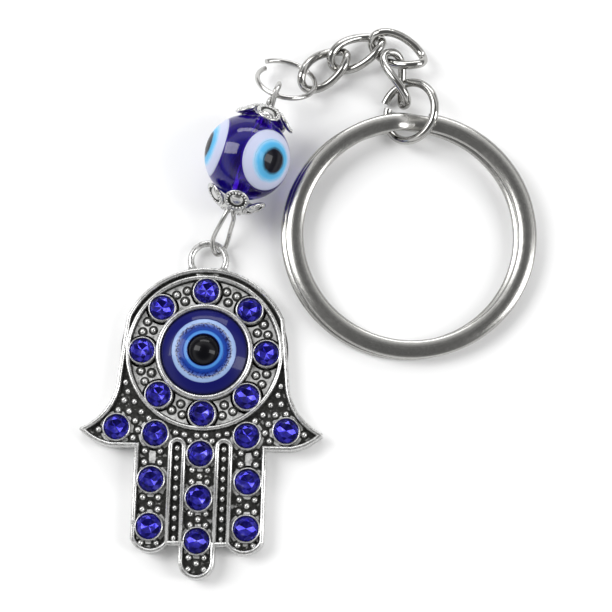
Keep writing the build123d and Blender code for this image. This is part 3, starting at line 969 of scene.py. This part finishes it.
class CHARM_OT_domed_eye(bpy.types.Operator):
    """Domed eye in the palm: base, rings and bulging pupil"""
    bl_idname = "charm.domed_eye"
    bl_label = "Domed eye"

    def execute(self, context):
        place = hand_place()
        glaze = dome_glaze()
        dome = dome_top(EYE_R, EYE_TOP - HAND_TOP, EYE_TOP)
        bulge = dome_top(PUPIL_R, PUPIL_RISE, PUPIL_TOP)
        for node, inner, outer, slot in EYE_LAYERS:
            bm = bmesh.new()
            eye_shell(bm, inner, outer, bulge if inner == 0 else dome, EYE_BACK, place)
            piece(node + "_detail", bm, [glaze], "hand", [node])
        return {"FINISHED"}


# ---- bead and caps
def bead_glass(place):
    """Ball with its poles turned down to the mouths of the bore, which runs beside its middle."""
    bm = bmesh.new()
    mouth = math.asin(BEAD_BORE_R / BEAD_R)
    rows = 60
    angles = [mouth + (math.pi - 2 * mouth) * i / rows for i in range(rows + 1)]
    lathe(bm, [(BEAD_R * math.sin(a), BEAD_R * math.cos(a)) for a in angles], place, 96)
    inverse = place.inverted()
    for vert in bm.verts:
        local = inverse @ vert.co
        if math.hypot(local.x, local.y) < BEAD_BORE_R * 1.01:
            vert.co = place @ (local + Vector((BEAD_OFFSET, 0, 0)))
    piece("bead_glass_detail", bm, [cobalt_glass()], "bead", ["bead_glass"])


def bead_eyes(place):
    """Three eyes round the bead, each of three layers."""
    glaze = bead_glaze()
    ball = ball_top(BEAD_R + BEAD_EYE_PROUD, BEAD_R + BEAD_EYE_PROUD)
    for number, (turn, tilt) in enumerate(BEAD_EYES, 1):
        facing = (Matrix.Rotation(math.radians(turn), 4, "Z")
                  @ Matrix.Rotation(math.radians(90 - tilt), 4, "X"))
        for name, inner, outer, slot in BEAD_LAYERS:
            bm = bmesh.new()
            eye_shell(bm, inner, outer, ball, BEAD_EYE_DEPTH, place @ facing)
            piece(f"bead_{name}_{number}_detail", bm, [glaze], "bead", [f"bead_{name}_{number}"])


class CHARM_OT_bead(bpy.types.Operator):
    """Cobalt glass bead with three layered eyes"""
    bl_idname = "charm.bead"
    bl_label = "Glass bead"

    def execute(self, context):
        place = pin_place() @ Matrix.Translation((-BEAD_OFFSET, 0, 0))
        bead_glass(place)
        bead_eyes(place)
        return {"FINISHED"}


def petal(bm, place):
    """Round dished petal: convex back, dark recess, bright boss and a rim for the beading."""
    back = [(0, -0.42), (0.6, -0.40), (1.1, -0.30), (1.40, -0.14)]
    rim = [(1.47, 0.02), (1.42, 0.12), (1.22, 0.12)]
    dish = [(1.20, -0.02), (0.86, -0.06)]
    boss = [(0.74, 0.06), (0.62, 0.17), (0.35, 0.23), (0, 0.25)]
    lathe(bm, back + rim + dish + boss, place, 40, closed=False)
    lathe(bm, [(1.21, 0.05), (0.77, 0.0)], place, 40, material=1, closed=False)


def beading(place, radius, height, count):
    """(place, up) of every small bead on a ring."""
    up = (place.to_3x3() @ Vector((0, 0, 1))).normalized()
    angles = [TAU * i / count for i in range(count)]
    return [(place @ Vector((radius * math.cos(a), radius * math.sin(a), height)), up) for a in angles]


def cap(name, body, place, finishes):
    """Flower cap over one end of the bead."""
    bm = bmesh.new()
    seat = Matrix.Translation((PETAL_OUT, 0, PETAL_UP)) @ Matrix.Rotation(math.radians(PETAL_TILT), 4, "Y")
    points = []
    for i in range(PETALS):
        at = place @ Matrix.Rotation(TAU * i / PETALS, 4, "Z") @ seat
        petal(bm, at)
        points += beading(at, BEADING_R, BEADING_UP, sizes().beading_count)
    cone = [(0.82, 5.4), (1.9, 5.45), (1.75, 5.9), (1.35, 6.3), (1.15, 6.42), (0.85, 6.38)]
    lathe(bm, cone, place, 48)
    points += beading(place, COLLAR_R, COLLAR_UP, COLLAR_COUNT)
    bmesh.ops.recalc_face_normals(bm, faces=bm.faces)
    ball = bmesh.new()
    r = sizes().beading_radius
    lathe(ball, [(0, r)] + [(r * math.sin(a), r * math.cos(a)) for a in (0.5, 1.0, 1.5, 2.1)] + [(0, -r)],
          steps=10, closed=False)
    absorb(bm, scatter(points, ball, {"Size spread": 0.12, "Seed": 7}), 0)
    piece(name + "_detail", bm, finishes, body, [name], recalculate=False)


class CHARM_OT_caps(bpy.types.Operator):
    """Two five-petal caps with beaded rims"""
    bl_idname = "charm.caps"
    bl_label = "Bead caps"

    def execute(self, context):
        silver = worn_silver("cap silver", metallic=1.0, low=0.14, high=0.26, pits=0.3)
        finishes = [silver, bpy.data.materials.get("tarnish_and_shade") or tarnish_and_shade()]
        place = pin_place()
        turn = Matrix.Rotation(math.radians(CAP_TURN - 90), 4, "Z")
        cap("top_bead_cap", "top_cap", place @ turn, finishes)
        place = place @ Matrix.Translation((0, 0, BOTTOM_CAP_SLIDE)) @ Matrix.Rotation(math.pi, 4, "X")
        turn = Matrix.Rotation(math.radians(90 - CAP_TURN), 4, "Z")
        cap("bottom_bead_cap", "bottom_cap", place @ turn, finishes)
        return {"FINISHED"}


# ---- wires, links and rings keep their shape and get their finish
def crowned_strip():
    """Closed section of the split ring's strip: (out, up) from its middle, its faces crowned."""
    half_w, half_t = (COIL_OUT_R - COIL_IN_R) / 2, COIL_THICK / 2
    points = []
    for sign in (1, -1):
        for i in range(13):
            x = 1 - 2 * i / 12
            up = half_t - COIL_CROWN * x * x - (COIL_EDGE if abs(x) == 1 else 0)
            points.append((sign * x * half_w, sign * up))
    return points


def ring_pose(angle_turned):
    """Angle, sideways shift and level of the strip after this many degrees from its upper tip."""
    jog = JOG_START - JOG_END
    share = min(1.0, max(0.0, (angle_turned - (360 - jog)) / jog))
    ease = math.cos(math.pi * share)
    return math.radians(JOG_END + 360 - angle_turned), COIL_SHIFT * ease, COIL_LEVEL * ease


class CHARM_OT_split_ring(bpy.types.Operator):
    """Split ring wound from one crowned strip, with its jog"""
    bl_idname = "charm.split_ring"
    bl_label = "Split ring"

    def execute(self, context):
        centre = middle("split_key_ring")
        place = Matrix.Translation(centre) @ Matrix.Rotation(COIL_TILT, 4, "X") @ Matrix.Scale(MM, 4)
        bm = bmesh.new()
        section = crowned_strip()
        middle_r = (COIL_IN_R + COIL_OUT_R) / 2
        whole = 720 - (JOG_START - JOG_END)
        rows = []
        for i in range(COIL_STEPS + 1):
            angle, shift, level = ring_pose(whole * i / COIL_STEPS)
            rows.append([bm.verts.new(place @ Vector((
                (middle_r + out) * math.cos(angle) + shift,
                (middle_r + out) * math.sin(angle), level + up))) for out, up in section])
        skin(bm, rows, closed=False)
        piece("split_key_ring_detail", bm, [brushed_strip(centre)], "key_ring",
              ["split_key_ring"])
        return {"FINISHED"}


class CHARM_OT_wires(bpy.types.Operator):
    """Finish of the hairpin, jump rings and links"""
    bl_idname = "charm.wires"
    bl_label = "Wires and links"

    def execute(self, context):
        bright = plated_nickel("bright wire", lighter(colours().nickel, 0.16), 0.10, 0.2)
        nickel = plated_nickel("polished nickel", colours().nickel, 0.05, 0.12)
        finishes = {"hairpin_wire": bright, "jump_ring": bright, "heavy_jump_ring": nickel}
        finishes.update({f"chain_link_{i}": nickel for i in range(1, 5)})
        for node, material in finishes.items():
            made = frame["nodes"][node]
            for mesh_slot in made.material_slots:
                mesh_slot.material = material
        return {"FINISHED"}


# ---- floor, light and camera
def soft_box(name, place, size, power):
    """Rectangular light that faces the middle of the charm."""
    lamp = bpy.data.lights.new(name, "AREA")
    lamp.shape = "RECTANGLE"
    lamp.size, lamp.size_y = size
    lamp.energy = power
    holder = add_object(name, lamp)
    holder.location = place
    holder.rotation_euler = (-Vector(place)).to_track_quat("-Z", "Y").to_euler()


def studio_world():
    """White room with a grey ceiling over the charm, so that plating has something to reflect."""
    world = bpy.data.worlds.new("studio")
    bpy.context.scene.world = world
    world.use_nodes = True
    nodes, links = world.node_tree.nodes, world.node_tree.links
    way = nodes.new("ShaderNodeTexCoord")
    turn = nodes.new("ShaderNodeMapping")
    turn.inputs["Rotation"].default_value = (ROOM_TILT, 0, 0)
    split = nodes.new("ShaderNodeSeparateXYZ")
    ramp = nodes.new("ShaderNodeValToRGB")
    fill_ramp(ramp, ROOM_TONES)
    links.new(way.outputs["Generated"], turn.inputs["Vector"])
    links.new(turn.outputs[0], split.inputs[0])
    links.new(split.outputs["Z"], ramp.inputs["Fac"])
    links.new(ramp.outputs["Color"], nodes["Background"].inputs["Color"])
    nodes["Background"].inputs["Strength"].default_value = 1.0


def floor_finish():
    """Matt white board."""
    finish = Finish("white board", Roughness=0.6)
    finish.drive("Base Color", finish.ramp(finish.noise(60 * MM, 2), [(0.3, 0.90), (0.7, 0.93)]))
    return finish.material


def lay_floor():
    """Round floor at the level that the charm lies on."""
    bm = bmesh.new()
    level = Matrix.Translation((0, 0, CAD_BOX[0][2]))
    lathe(bm, [(0, 0), (FLOOR_R / 5, 0), (FLOOR_R, 0)], level, closed=False)
    bmesh.ops.recalc_face_normals(bm, faces=bm.faces)
    mesh = as_mesh("floor", bm)
    mesh.materials.append(floor_finish())
    add_object("floor", mesh)


def set_camera():
    """Camera above the charm, leaning a little towards the hand's side."""
    lens = bpy.data.cameras.new("camera")
    lens.lens = CAMERA_LENS
    lens.clip_start = CAMERA_CLIP
    camera = add_object("camera", lens)
    camera.rotation_euler = (CAMERA_TILT, 0, 0)
    lean = Vector((0, -math.sin(CAMERA_TILT), math.cos(CAMERA_TILT)))
    camera.location = CAMERA_AIM + CAMERA_DISTANCE * lean
    bpy.context.scene.camera = camera


class CHARM_OT_stage(bpy.types.Operator):
    """Pale floor, soft light and the camera"""
    bl_idname = "charm.stage"
    bl_label = "Stage"

    def execute(self, context):
        context.scene.view_settings.view_transform = "Standard"
        lay_floor()
        studio_world()
        for box in SOFT_BOXES:
            soft_box(*box)
        set_camera()
        return {"FINISHED"}


OPERATORS = (CHARM_OT_stage, CHARM_OT_hand, CHARM_OT_stones, CHARM_OT_domed_eye, CHARM_OT_bead,
             CHARM_OT_caps, CHARM_OT_split_ring, CHARM_OT_wires)


class CHARM_PT_panel(bpy.types.Panel):
    """Sizes, colours and a button for each group of pieces"""
    bl_idname = "CHARM_PT_panel"
    bl_label = "Key charm"
    bl_space_type = "VIEW_3D"
    bl_region_type = "UI"
    bl_category = "Key charm"

    def draw(self, context):
        for group in (context.scene.charm_sizes, context.scene.charm_colours):
            for name in group.__annotations__:
                self.layout.prop(group, name)
        for operator in OPERATORS:
            self.layout.operator(operator.bl_idname)


CLASSES = (CharmSizes, CharmColours, *OPERATORS, CHARM_PT_panel)


def register():
    for item in CLASSES:
        bpy.utils.register_class(item)
    bpy.types.Scene.charm_sizes = PointerProperty(type=CharmSizes)
    bpy.types.Scene.charm_colours = PointerProperty(type=CharmColours)


def unregister():
    del bpy.types.Scene.charm_colours
    del bpy.types.Scene.charm_sizes
    for item in reversed(CLASSES):
        bpy.utils.unregister_class(item)


def main():
    register()
    bpy.ops.charm.stage()
    bpy.ops.charm.hand()
    bpy.ops.charm.stones()
    bpy.ops.charm.domed_eye()
    bpy.ops.charm.bead()
    bpy.ops.charm.caps()
    bpy.ops.charm.split_ring()
    bpy.ops.charm.wires()


if __name__ == "__main__":
    main()
